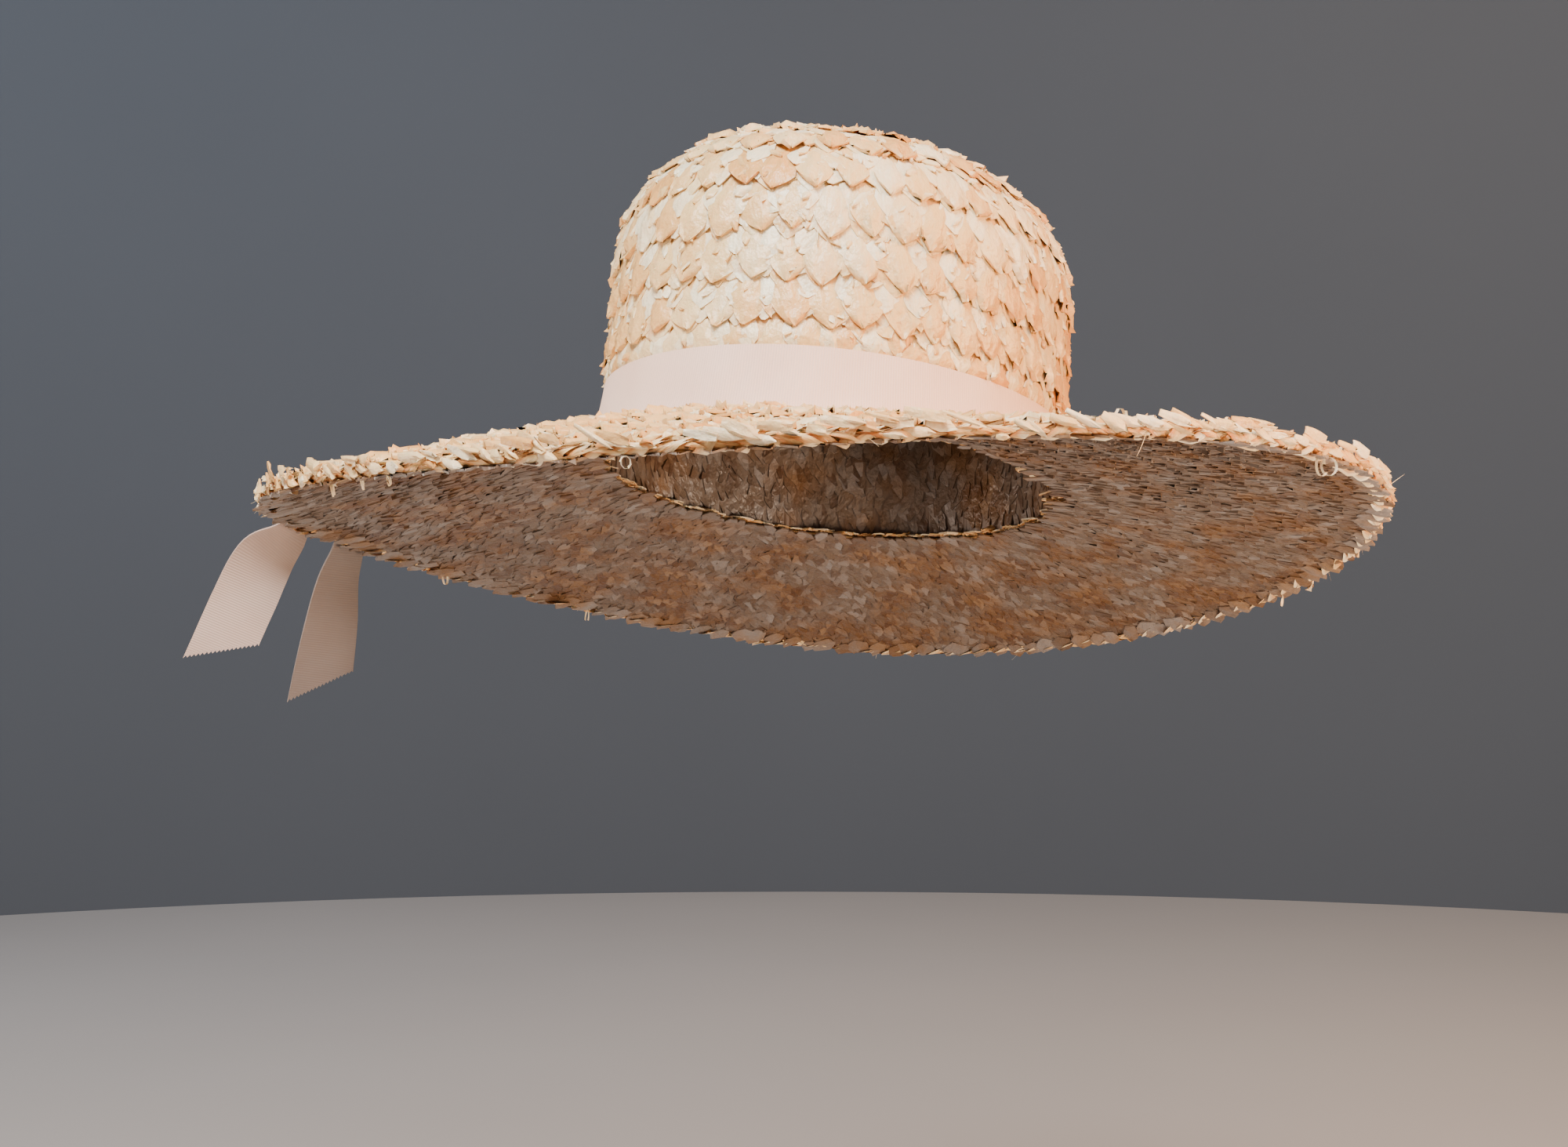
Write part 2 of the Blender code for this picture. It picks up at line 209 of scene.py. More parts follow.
# A shape that is laid many times: grid points across and along, the share of its length where it
# is widest, how much further up its left side is widest, the shares of its width left at the tip
# and at the base, and how round its tip is
Leaf = namedtuple("Leaf", "across along waist slant blunt base round")
PETAL = Leaf(across=7, along=8, waist=0.43, slant=0.28, blunt=0.07, base=0.38, round=0.92)
FACET = Leaf(across=4, along=5, waist=0.42, slant=0.15, blunt=0.1, base=0.55, round=0.9)
STRAND = Leaf(across=2, along=4, waist=0.35, slant=0.0, blunt=0.25, base=0.6, round=0.7)
SCALE = Leaf(across=2, along=3, waist=0.4, slant=0.2, blunt=0.2, base=0.6, round=0.8)
BOX = Leaf(across=4, along=4, waist=0.35, slant=0.0, blunt=0.7, base=0.6, round=0.9)

# A kind of leaf in the braid, with (mean, spread) of what it measures: row is where its tip lies
# past its row, aside how far it lies sideways, lift how far its tip stands off, puff how far its
# middle swells, curl how far its left edge turns up, tint from deep peach 0 to white 1. share is
# how many of the marks get one. deep is how much painted shade it gets inside its edges, for the
# shadowed slit between a petal and the fold under it
Kind = namedtuple(
    "Kind",
    "leaf row aside width length lean lift puff tint share curl deep",
    defaults=(1.0, (0.0, 0.0), 0.0),
)
PETALS = Kind(
    leaf=PETAL, row=(0.0, 0.05), aside=(0.0, 0.0006), width=(0.0144, 0.0012),
    length=(0.02, 0.0013), lean=(0.06, 0.15), lift=(0.0019, 0.0008), puff=(0.0014, 0.0004),
    curl=(0.0005, 0.0004), tint=(0.38, 0.22),
)
FOLDS = Kind(
    leaf=PETAL, share=0.9, row=(-0.095, 0.03), aside=(-0.0016, 0.0004), width=(0.0138, 0.0012),
    length=(0.0195, 0.0013), lean=(0.06, 0.12), lift=(0.0008, 0.0002), puff=(0.0003, 0.0002),
    curl=(0.0003, 0.0003), tint=(0.62, 0.2), deep=0.8,
)
WHITES = Kind(
    leaf=FACET, share=0.95, row=(0.5, 0.06), aside=(0.0, 0.0012), width=(0.0108, 0.0016),
    length=(0.0125, 0.0014), lean=(0.05, 0.25), lift=(0.0015, 0.0003), puff=(0.0005, 0.0002),
    curl=(0.0003, 0.0002), tint=(0.96, 0.08),
)
UNDERS = Kind(
    leaf=FACET, row=(0.1, 0.06), aside=(0.0, 0.0012), width=(0.0125, 0.0014),
    length=(0.019, 0.0014), lean=(0.0, 0.2), lift=(0.0009, 0.0002), puff=(0.0004, 0.0002),
    curl=(0.0002, 0.0002), tint=(0.66, 0.22),
)
CROSSES = Kind(
    leaf=FACET, share=0.5, row=(0.3, 0.14), aside=(-0.001, 0.0025), width=(0.0072, 0.0016),
    length=(0.0145, 0.002), lean=(0.6, 0.2), lift=(0.0016, 0.0004), puff=(0.0006, 0.0002),
    curl=(0.0003, 0.0002), tint=(0.48, 0.25),
)
NARROWS = Kind(
    leaf=FACET, share=0.8, row=(0.2, 0.28), aside=(0.0, 0.0025), width=(0.0034, 0.0011),
    length=(0.0085, 0.0022), lean=(0.6, 0.35), lift=(0.0019, 0.0004), puff=(0.0006, 0.0002),
    curl=(0.0002, 0.0002), tint=(0.7, 0.28),
)
CRINKLES = Kind(
    leaf=FACET, share=0.9, row=(0.62, 0.12), aside=(0.0, 0.003), width=(0.0036, 0.0011),
    length=(0.0062, 0.0018), lean=(-0.5, 0.55), lift=(0.0021, 0.0004), puff=(0.0008, 0.0003),
    curl=(0.0002, 0.0002), tint=(0.76, 0.25),
)
STRANDS = Kind(
    leaf=STRAND, row=(0.45, 0.3), aside=(0.0, 0.0035), width=(0.0013, 0.0004),
    length=(0.008, 0.0025), lean=(-0.6, 0.45), lift=(0.0023, 0.0006), puff=(0.0004, 0.0002),
    tint=(0.66, 0.25),
)
SCALES = Kind(
    leaf=SCALE, row=(0.0, 0.05), aside=(0.0, 0.0008), width=(0.0054, 0.0009),
    length=(0.0096, 0.0016), lean=(-0.35, 0.26), lift=(0.0008, 0.0004), puff=(0.0006, 0.0002),
    tint=(0.52, 0.24),
)
CROSS_SCALES = Kind(
    leaf=SCALE, row=(0.0, 0.06), aside=(0.0, 0.001), width=(0.005, 0.001),
    length=(0.0088, 0.0016), lean=(0.45, 0.3), lift=(0.0007, 0.0003), puff=(0.0006, 0.0002),
    tint=(0.34, 0.22),
)
TEETH = Kind(
    leaf=FACET, row=(-0.2, 0.05), aside=(0.0, 0.0012), width=(0.009, 0.0012),
    length=(0.012, 0.0014), lean=(0.45, 0.2), lift=(0.0006, 0.0003), puff=(0.0008, 0.0002),
    curl=(0.0003, 0.0003), tint=(0.8, 0.22),
)
FLAKES = Kind(
    leaf=FACET, row=(0.0, 0.06), aside=(0.0, 0.0012), width=(0.0046, 0.001),
    length=(0.0135, 0.0022), lean=(1.18, 0.16), lift=(0.0016, 0.0006), puff=(0.001, 0.0003),
    curl=(0.0006, 0.0004), tint=(0.58, 0.3),
)
BOXES = Kind(
    leaf=BOX, share=0.7, row=(0.0, 0.08), aside=(0.0, 0.002), width=(0.0062, 0.001),
    length=(0.011, 0.0016), lean=(1.22, 0.14), lift=(0.0019, 0.0008), puff=(0.0014, 0.0003),
    curl=(0.0006, 0.0004), tint=(0.66, 0.25),
)
RIM_BOXES = Kind(
    leaf=BOX, share=0.7, row=(0.0, 0.05), aside=(0.0, 0.0022), width=(0.0033, 0.0008),
    length=(0.0102, 0.002), lean=(1.42, 0.13), lift=(0.0017, 0.0008), puff=(0.0008, 0.0003),
    curl=(0.0004, 0.0004), tint=(0.52, 0.3),
)
RIM_FLAKES = Kind(
    leaf=FACET, share=0.9, row=(-0.14, 0.05), aside=(0.0, 0.0018), width=(0.0031, 0.0008),
    length=(0.0108, 0.002), lean=(1.26, 0.17), lift=(0.0015, 0.0007), puff=(0.0008, 0.0003),
    curl=(0.0004, 0.0004), tint=(0.58, 0.3),
)

# How leaves lie: the share of a leaf's length from its tip to where it turns, how far up a row
# they are evenly spaced, their least height, how far the outermost ring is turned down, and how
# deep they sink where something presses them
LEAF_TURN = 0.4
MARKS_UP = 0.4
LEAF_REST = 0.0002
LEAF_EDGE = 0.0006
LEAF_PRESSED = 0.0004

# A leaf's painted shade: on its outermost ring, where it touches the surface, and the height it
# clears at
EDGE_SHADE = 0.15
LOW_SHADE = 0.4
SHADE_HEIGHT = 0.0012

# Rows of leaves along the rim, in brim rows from it, and how far apart their leaves are
Course = namedtuple("Course", "kind row pitch")
RIM_COURSES = (
    Course(FLAKES, 0.0, 0.0092),
    Course(FLAKES, 0.2, 0.0092),
    Course(FLAKES, 0.42, 0.0092),
    Course(FLAKES, 0.66, 0.0092),
    Course(BOXES, 0.34, 0.0105),
)

# How far the rim's outward face stands off the middle of its edge
RIM_FACE = 0.0014

# Walls behind the leaves, from one depth under the surface to another, and their looks
OUTER_CORE = (0.0003, 0.0010)
INNER_CORE = (0.0011, 0.0018)
CORE_SIDES = 96
CORE_TINT = 0.3
CORE_SHADE = 0.5

# Where the ribbon ends press the brim's braid, in degrees, and how much higher it stands elsewhere
PRESS_AZIMUTH = 278.0
PRESS_REACH = 20.0
PRESS_FADE = 10.0
BRIM_SWELL = 0.15


def oval(azimuth, grow):
    """A point of the crown's oval, grown sideways, for one azimuth or an array of them."""
    angle = np.radians(azimuth)
    across = (CROWN_WIDTH / 2 + grow) * np.sin(angle)
    along = -(CROWN_LENGTH / 2 + grow) * np.cos(angle)
    return across, along


def flare(height):
    """How far the crown's foot stands out past its straight side at a height."""
    below = np.clip(1.0 - height / FLARE_HEIGHT, 0.0, 1.0)
    return FOOT_FLARE * below * below


def crown_surface(row, azimuth):
    """The crown's outside, upright. Row 0 is the first free edge above the band, 1 the next up."""
    run = FIRST_ROW + ROW_PITCH * row
    side = np.minimum(run, SIDE_HEIGHT)
    angle = SHOULDER_END * np.clip((run - SIDE_HEIGHT) / SHOULDER_RUN, 0.0, 1.0)
    left = 1.0 - np.clip((run - SIDE_HEIGHT - SHOULDER_RUN) / TOP_RUN, 0.0, 1.0)
    grow = flare(side) - SHOULDER_DEPTH * (1.0 - np.cos(angle))
    height = side + SHOULDER_HEIGHT * np.sin(angle)
    height = height + math.tan(TOP_SLOPE) * TOP_RUN * (1.0 - left * left) / 2
    across, along = oval(azimuth, grow)
    return np.stack([across * left, along * left, height], axis=-1)


def rim_height(azimuth):
    """The rim's height over the crown's foot, upright: its droop and its two waves."""
    angle = np.radians(azimuth)
    waves = sum(
        wave.rise * np.cos(wave.turns * (angle - math.radians(wave.peak_azimuth)))
        for wave in RIM_WAVES
    )
    return waves - RIM_DROP


def brim_surface(row, azimuth):
    """The brim's top, upright. Row 0 is the rim and BRIM_ROWS is the crown's foot."""
    share = 1.0 - row / BRIM_ROWS
    angle = np.radians(azimuth)
    across, along = oval(azimuth, FOOT_FLARE)
    rim_x = RIM_SHIFT + RIM_RADIUS * np.sin(angle)
    rim_y = -RIM_RADIUS * np.cos(angle)
    x = across * (1.0 - share) + rim_x * share
    y = along * (1.0 - share) + rim_y * share
    z = rim_height(azimuth) * np.maximum(share, 0.0) ** BRIM_CURVE - SEAM_GAP
    return np.stack([x, y, z], axis=-1)


def surface_frame(surface, row, azimuth):
    """Points on a surface, their normals, and the metres per row and per degree there."""
    step, turn, least_turn = 0.02, 0.2, 0.0003
    along = (surface(row + step, azimuth) - surface(row - step, azimuth)) / (2 * step)
    around = (surface(row, azimuth + turn) - surface(row, azimuth - turn)) / (2 * turn)
    normal = np.cross(around, along)
    normal /= np.maximum(np.linalg.norm(normal, axis=-1, keepdims=True), 1e-12)
    row_size = np.linalg.norm(along, axis=-1)
    turn_size = np.maximum(np.linalg.norm(around, axis=-1), least_turn)
    return surface(row, azimuth), normal, row_size, turn_size


def leaf_grid(leaf):
    """A leaf's grid: across (-1 to 1), along (0 at the tip to 1), and 1 on its outermost ring."""
    across = np.linspace(-1.0, 1.0, leaf.across)
    along = np.linspace(0.0, 1.0, leaf.along)
    across = np.concatenate([[-1.0], across, [1.0]])
    along = np.concatenate([[0.0], along, [1.0]])
    u, v = np.meshgrid(across, along)
    ring = np.zeros_like(u)
    ring[0, :] = ring[-1, :] = ring[:, 0] = ring[:, -1] = 1.0
    return u, v, ring


def outline(leaf, u, v):
    """A leaf's half width along its length, as a share of its widest."""
    waist = leaf.waist * (1.0 - leaf.slant * u)
    tip = np.clip(v / waist, 0.0, 1.0)
    tip = leaf.blunt + (1.0 - leaf.blunt) * (1.0 - (1.0 - tip) ** 1.5) ** leaf.round
    above = np.clip((v - waist) / (1.0 - waist), 0.0, 1.0)
    return tip * (1.0 - (1.0 - leaf.base) * above**1.5)


def row_marks(surface, row, pitch, rng):
    """Azimuths about a pitch apart round one row, a little uneven, from a random start."""
    ring = np.linspace(0.0, 360.0, 181)
    around = surface(np.full_like(ring, row), ring)
    run = np.concatenate([[0.0], np.cumsum(np.linalg.norm(np.diff(around, axis=0), axis=-1))])
    count = max(5, round(run[-1] / pitch))
    marks = np.arange(count) + rng.uniform(-0.08, 0.08, count)
    return np.interp(marks / count * run[-1], run, ring) + rng.uniform(0.0, 360.0 / count)


def braid_marks(surface, rows, pitch, rng):
    """(row, azimuths) of every row."""
    return [(row, row_marks(surface, row + MARKS_UP, pitch, rng)) for row in rows]


def notches(marks):
    """(row, azimuths) of the notches between the leaves of every row."""
    return [(row, azimuth + 180.0 / len(azimuth)) for row, azimuth in marks]


def lay(surface, kind, marks, rng, side=1.0, depth=0.0, squash=None):
    """Points, tints, shades and texture places of one kind of leaf laid at every mark."""
    row = np.concatenate([np.full(len(azimuth), float(row)) for row, azimuth in marks])
    azimuth = np.concatenate([azimuth for _, azimuth in marks])
    kept = rng.uniform(0.0, 1.0, len(row)) < kind.share
    row, azimuth = row[kept, None, None], azimuth[kept, None, None]

    def draw(name, least=-1.0):
        mean, spread = getattr(kind, name)
        return np.maximum(rng.normal(mean, spread, row.shape), least)

    u, v, ring = leaf_grid(kind.leaf)
    phase = rng.uniform(0.0, 40.0, row.shape)
    lean, puff, tint = draw("lean"), draw("puff", 0.0001), np.clip(draw("tint"), 0.0, 1.0)
    width, length = draw("width", 0.0006), draw("length", 0.003)
    row = row + draw("row")
    _, _, row_size, turn_size = surface_frame(surface, row, azimuth)
    x = outline(kind.leaf, u, v) * u * width / 2
    y = length * (v - LEAF_TURN)
    across = x * np.cos(lean) - y * np.sin(lean) + draw("aside")
    along = x * np.sin(lean) + y * np.cos(lean) + length * LEAF_TURN
    row = row + along / row_size
    place, normal, _, _ = surface_frame(surface, row, azimuth + across / turn_size)
    rise = draw("lift", 0.0003) * (1.0 - v) ** 1.2 + LEAF_REST
    rise = rise + puff * (1.0 - u * u) * np.sin(math.pi * (0.15 + 0.8 * v))
    rise = rise + draw("curl", 0.0) * np.clip(-u, 0.0, 1.0) ** 2 * (1.0 - v)
    crinkle = np.sin(phase + 7.0 * u + 3.0 * v) * np.sin(2.3 * phase + 9.0 * v)
    rise = rise + 0.25 * puff * crinkle - LEAF_EDGE * ring
    if squash is not None:
        keep = squash(row, azimuth)
        rise = rise * keep - LEAF_PRESSED * (1.0 - keep)
    points = place + normal * (side * (rise + depth))[..., None]
    # Painted shade: leaves darken on their outermost ring and where they lie low on the surface,
    # as shade in the gaps between them.
    shade = np.where(ring > 0, EDGE_SHADE, np.clip(LOW_SHADE + rise / SHADE_HEIGHT, 0.0, 1.0))
    # Painted shade for the slit: a kind with deep darkens inside its edges.
    if kind.deep:
        shade = 1.0 - kind.deep * (1.0 - u**6) * (1.0 - (1.0 - v) ** 6)
    places = np.stack([x + phase, y + 0.37 * phase], axis=-1)
    return points, tint, shade, places


def rim_frame(azimuth):
    """Points in the middle of the rim's edge, with directions up, outward and round the rim."""
    place, normal, _, _ = surface_frame(brim_surface, np.zeros_like(azimuth), azimuth)
    outward = brim_surface(np.zeros_like(azimuth) - 0.02, azimuth) - place
    outward /= np.linalg.norm(outward, axis=-1, keepdims=True)
    return place - normal * BRIM_WALL / 2, normal, outward, np.cross(normal, outward)


def rim_surface(row, azimuth):
    """The rim's outward face. Row 0 is the middle of its height and rows count upward."""
    middle, up, outward, _ = rim_frame(azimuth)
    return middle + outward * RIM_FACE + up * (ROW_PITCH * row)[..., None]


def rim_folds(rng, pitch, wide, slant, radius, tint):
    """Straw strips folded slantwise over the rim: out along the top, round it and back under."""
    azimuth = row_marks(brim_surface, 0.0, pitch, rng)
    shape = (len(azimuth), 1, 1)
    columns, rows, bend, under = 5, 15, 0.45, 0.45
    u, along = np.meshgrid(np.linspace(-1.0, 1.0, columns), np.linspace(-1.0, 1.0, rows))
    straight = np.clip((np.abs(along) - bend) / (1.0 - bend), 0.0, 1.0)
    angle = np.clip(along / bend, -1.0, 1.0) * math.pi / 2
    leg = rng.normal(0.0056, 0.0009, shape) * np.where(along < 0.0, under, 1.0)
    radius = rng.normal(radius, 0.15 * radius, shape) * (1.0 + 0.25 * u)
    past = rng.normal(0.0012, 0.0007, shape)
    inward = radius * (1.0 - np.cos(angle)) + leg * straight - past
    height = radius * np.sin(angle) * (1.0 - 0.4 * straight)
    width = rng.normal(wide, 0.15 * wide, shape) * (1.0 - 0.8 * straight**2)
    slant = rng.normal(slant, 0.3, shape) * along * (leg + radius * math.pi / 2)
    across = width / 2 * u + slant
    turn = azimuth[:, None, None] + np.degrees(across / RIM_RADIUS)
    middle, up, outward, _ = rim_frame(turn)
    bulge = 0.0003 * np.sin(5.0 * along + rng.uniform(0.0, 6.0, shape))
    points = middle + up * (height + bulge)[..., None] - outward * inward[..., None]
    # Painted shade: the tint dips to deeper peach where the strip turns round the rim and faces
    # sideways.
    tint = rng.normal(tint, 0.18, shape) - 0.45 * np.exp(-((along / 0.22) ** 2))
    tint = np.clip(tint, 0.0, 1.0)
    # Painted shade: darker towards the strip's tucked edge, and more so on its leg under the rim.
    shade = np.clip(0.5 + 0.5 * u, 0.0, 1.0) * np.clip(1.1 + 1.1 * along, 0.6, 1.0)
    phase = rng.uniform(0.0, 40.0, shape)
    places = np.stack([width * u / 2 + phase, along * leg * 2 + phase], axis=-1)
    return points, tint, shade, places


def off_rim(azimuth, x, y, out, turn=0.0):
    """Points off the rim's edge, x round it, y up and out from it, turned about its up."""
    middle, up, outward, around = rim_frame(azimuth)
    turn = np.asarray(turn)[..., None]
    outward, around = (
        outward * np.cos(turn) - around * np.sin(turn),
        around * np.cos(turn) + outward * np.sin(turn),
    )
    return middle + around * x[..., None] + up * y[..., None] + outward * out[..., None]


def loops(rng, count, radius, wide, turns):
    """Small loops of straw that stand off the rim."""
    shape, rows, columns, stand, thick = (count, 1, 1), 15, 3, 0.0020, 0.0003
    azimuth = rng.uniform(0.0, 360.0, count)[:, None, None] + np.zeros((count, rows, columns))
    u, share = np.meshgrid(np.linspace(-1.0, 1.0, columns), np.linspace(0.0, 1.0, rows))
    turn = rng.normal(0.0, 0.6, shape)
    radius = rng.normal(radius, 0.25 * radius, shape) * (1.0 + 0.25 * share)
    angle = rng.uniform(0.0, 6.28, shape) + turns * 2 * math.pi * share
    squeeze = rng.uniform(0.55, 1.0, shape)
    lift = rng.choice([-1.0, 1.0], shape, p=[0.35, 0.65]) * (stand + radius * 0.8)
    x = radius * squeeze * np.cos(angle) + thick * u
    y = lift + radius * np.sin(angle)
    out = rng.normal(0.0002, 0.0012, shape) + wide * u / 2 + 0.001 * share
    tint, shade = np.clip(rng.normal(0.85, 0.12, shape), 0.0, 1.0), 0.8
    phase = rng.uniform(0.0, 40.0, shape)
    places = np.stack([wide * u + phase, radius * angle + phase], axis=-1)
    return off_rim(azimuth, x, y, out, turn), tint, shade, places


def frays(rng, count):
    """Hair-thin splinters that stand out of the rim's edge."""
    shape, rows, sides = (count, 1, 1), 6, 3
    azimuth = rng.uniform(0.0, 360.0, shape) + np.zeros((count, rows, sides + 1))
    side = np.arange(sides + 1) * 2 * math.pi / sides
    side, share = np.meshgrid(side, np.linspace(0.0, 1.0, rows))
    length = rng.uniform(0.003, 0.009, shape)
    thick = rng.uniform(0.00010, 0.00022, shape) * (1.0 - 0.8 * share)
    bend = rng.normal(0.0, 0.3, shape)
    x = length * share * (rng.normal(0.0, 0.7, shape) + bend * share) + thick * np.cos(side)
    y = length * share * rng.normal(0.25, 0.45, shape) + thick * np.sin(side)
    out = length * share * rng.uniform(0.3, 1.0, shape)
    tint = shade = 0.8
    return off_rim(azimuth, x, y, out), tint, shade, np.stack([x, out], axis=-1)


def grid_faces(count, rows, columns):
    """Quads of count grids of rows by columns points, one after another."""
    corner = (np.arange(rows - 1)[:, None] * columns + np.arange(columns - 1)[None, :]).ravel()
    one = np.stack([corner, corner + 1, corner + columns + 1, corner + columns], axis=-1)
    return (one[None, :, :] + (np.arange(count) * rows * columns)[:, None, None]).reshape(-1, 4)


def new_mesh(name, points, faces, material, attributes=None, places=None, sharp=55):
    """An object of points and faces, smooth but for edges sharper than so many degrees."""
    data = bpy.data.meshes.new(name)
    data.from_pydata(points.tolist(), [], faces if isinstance(faces, list) else faces.tolist())
    for key, values in (attributes or {}).items():
        layer = data.attributes.new(key, "FLOAT", "POINT")
        layer.data.foreach_set("value", np.ascontiguousarray(values, dtype=np.float32))
    if places is not None:
        layer = data.uv_layers.new(name="cloth")
        corners_at = np.empty(len(data.loops), dtype=np.int32)
        data.loops.foreach_get("vertex_index", corners_at)
        uv = np.ascontiguousarray(places[corners_at], dtype=np.float32)
        layer.data.foreach_set("uv", uv.ravel())
    data.shade_smooth()
    data.set_sharp_from_angle(angle=math.radians(sharp))
    data.materials.append(material)
    thing = bpy.data.objects.new(name, data)
    bpy.context.scene.collection.objects.link(thing)
    return thing


def tipped(points):
    """Upright points, tipped as the hat is worn."""
    return points @ np.array(TILT).T


def leaf_object(name, batches, material):
    """One object from several batches of laid leaves."""
    points, faces, tints, shades, places = [], [], [], [], []
    start = 0
    for batch, tint, shade, place in batches:
        count, rows, columns = batch.shape[:3]
        points.append(batch.reshape(-1, 3))
        faces.append(grid_faces(count, rows, columns) + start)
        tints.append(np.broadcast_to(tint, batch.shape[:3]).reshape(-1))
        shades.append(np.broadcast_to(shade, batch.shape[:3]).reshape(-1))
        places.append(np.broadcast_to(place, batch.shape[:3] + (2,)).reshape(-1, 2))
        start += count * rows * columns
    looks = {"tint": np.concatenate(tints), "shade": np.concatenate(shades)}
    points = tipped(np.concatenate(points))
    return new_mesh(name, points, np.concatenate(faces), material, looks, np.concatenate(places))


def squash_under_band(row, _):
    """0 where the band presses the braid flat, rising to 1 just above it."""
    tucked, rising = 0.0005, 0.0025
    run = FIRST_ROW + ROW_PITCH * row
    share = np.clip((run - BAND_FOOT - BAND_HEIGHT + tucked) / rising, 0.0, 1.0)
    return share * share * (3 - 2 * share)


def swell_off_ribbon(_, azimuth):
    """The brim's braid stands higher than the crown's, but not where the ribbon ends press it."""
    away = np.abs((azimuth - PRESS_AZIMUTH + 180.0) % 360.0 - 180.0)
    return 1.0 + BRIM_SWELL * np.clip((away - PRESS_REACH) / PRESS_FADE, 0.0, 1.0)


def braid(surface, rows, rng, squash=None):
    """The braid's right side: petals with folds under them, white facets and loose strands."""
    marks = braid_marks(surface, rows, PETAL_PITCH, rng)
    between = notches(marks)
    layers = (
        (PETALS, marks), (FOLDS, marks), (UNDERS, between), (WHITES, between),
        (CROSSES, between), (NARROWS, marks), (CRINKLES, between), (STRANDS, between),
    )
    return [lay(surface, kind, at, rng, squash=squash) for kind, at in layers]


def wrong_side(surface, rows, pitch, rng, depth):
    """The braid's wrong side: scales that slant one way in three rows out of four."""
    batches = []
    for index, row in enumerate(rows):
        kind = CROSS_SCALES if index % 4 == 2 else SCALES
        marks = braid_marks(surface, [row], pitch, rng)
        batches.append(lay(surface, kind, marks, rng, side=-1.0, depth=depth))
    return batches


def build_crown(straw):
    rng = np.random.default_rng(31)
    rows = np.arange(-1.0, LAST_ROW - 0.45)
    return leaf_object("straw_crown", braid(crown_surface, rows, rng, squash_under_band), straw)


def build_crown_inside(straw):
    rng = np.random.default_rng(32)
    rows = np.arange(FOOT_ROW + 0.1, LAST_ROW - 0.2, 0.25)
    batches = wrong_side(crown_surface, rows, 0.0046, rng, depth=CROWN_WALL - 0.0004)
    return leaf_object("straw_crown_inside", batches, straw)


def build_brim_top(straw):
    """The brim's braid in two objects: its petals and folds, then its small facets and loose bits
    with the flakes that lie along the rim."""
    rng = np.random.default_rng(33)
    rows = np.arange(BRIM_ROWS) + 0.1
    batches = braid(brim_surface, rows, rng, swell_off_ribbon)
    loose = batches[3:]
    for course in RIM_COURSES:
        marks = braid_marks(brim_surface, [course.row], course.pitch, rng)
        loose.append(lay(brim_surface, course.kind, marks, rng, squash=swell_off_ribbon))
    return (
        leaf_object("straw_brim_top", batches[:3], straw),
        leaf_object("straw_brim_flakes", loose, straw),
    )


def build_brim_under(straw):
    """The brim's underside: scales, and the outermost row's petals, which show as teeth."""
    rng = np.random.default_rng(34)
    rows = np.arange(0.02, BRIM_ROWS - 0.1, 0.25)
    batches = wrong_side(brim_surface, rows, 0.0044, rng, depth=BRIM_WALL - 0.0006)
    marks = braid_marks(brim_surface, [0.0], 0.0082, rng)
    batches.append(lay(brim_surface, TEETH, marks, rng, side=-1.0, depth=BRIM_WALL + 0.0003))
    return leaf_object("straw_brim_under", batches, straw)


def build_rim(straw):
    """The rim's edge: three layers of folded strips, flakes that lie nearly along it, then loops
    and splinters of loose straw."""
    rng = np.random.default_rng(35)
    batches = [
        rim_folds(rng, pitch=0.0058, wide=0.0056, slant=-1.5, radius=0.0015, tint=0.42),
        rim_folds(rng, pitch=0.0072, wide=0.0060, slant=1.8, radius=0.0019, tint=0.66),
        rim_folds(rng, pitch=0.0110, wide=0.0054, slant=1.1, radius=0.0024, tint=0.88),
        lay(rim_surface, RIM_FLAKES, braid_marks(rim_surface, [0.0], 0.0080, rng), rng),
        lay(rim_surface, RIM_BOXES, braid_marks(rim_surface, [0.0], 0.0104, rng), rng),
        loops(rng, count=14, radius=0.0022, wide=0.0007, turns=0.9),
        loops(rng, count=4, radius=0.0020, wide=0.0007, turns=1.8),
        frays(rng, count=90),
    ]
    return leaf_object("straw_rim", batches, straw)


def wrap_faces(rows, columns, closed):
    """Quads of a tube of rings, with its last ring joined to its first if closed."""
    index = np.arange(rows * columns).reshape(rows, columns)
    if closed:
        index = np.concatenate([index, index[:1]])
    after = np.roll(index, -1, axis=1)
    return np.stack([index[:-1], after[:-1], after[1:], index[1:]], axis=-1).reshape(-1, 4)


def build_core(name, surface, rows, depths, material):
    """A closed wall behind the leaves, from one depth below the surface to another."""
    top, bottom = depths
    azimuth = np.linspace(0.0, 360.0, CORE_SIDES + 1)[:-1]
    grid_row, grid_azimuth = np.meshgrid(rows, azimuth, indexing="ij")
    place, normal, _, _ = surface_frame(surface, grid_row, grid_azimuth)
    walls = np.concatenate([place - normal * top, (place - normal * bottom)[::-1]])
    points = tipped(walls.reshape(-1, 3))
    looks = {"tint": np.full(len(points), CORE_TINT), "shade": np.full(len(points), CORE_SHADE)}
    faces = wrap_faces(len(walls), len(azimuth), closed=True)
    return new_mesh(name, points, faces, material, looks, points[:, :2])


def principled(name):
    material = bpy.data.materials.new(name)
    material.use_nodes = True
    return material, material.node_tree.nodes["Principled BSDF"]


def add_node(material, kind, **values):
    node = material.node_tree.nodes.new(kind)
    for key, value in values.items():
        setattr(node, key, value)
    return node


def join(material, source, target):
    material.node_tree.links.new(source, target)


def colour_ramp(material, stops, source):
    ramp = add_node(material, "ShaderNodeValToRGB")
    while len(ramp.color_ramp.elements) < len(stops):
        ramp.color_ramp.elements.new(0.5)
    for element, (place, colour) in zip(ramp.color_ramp.elements, stops):
        element.position = place
        element.color = (*colour, 1.0)
    join(material, source, ramp.inputs["Fac"])
    return ramp.outputs["Color"]


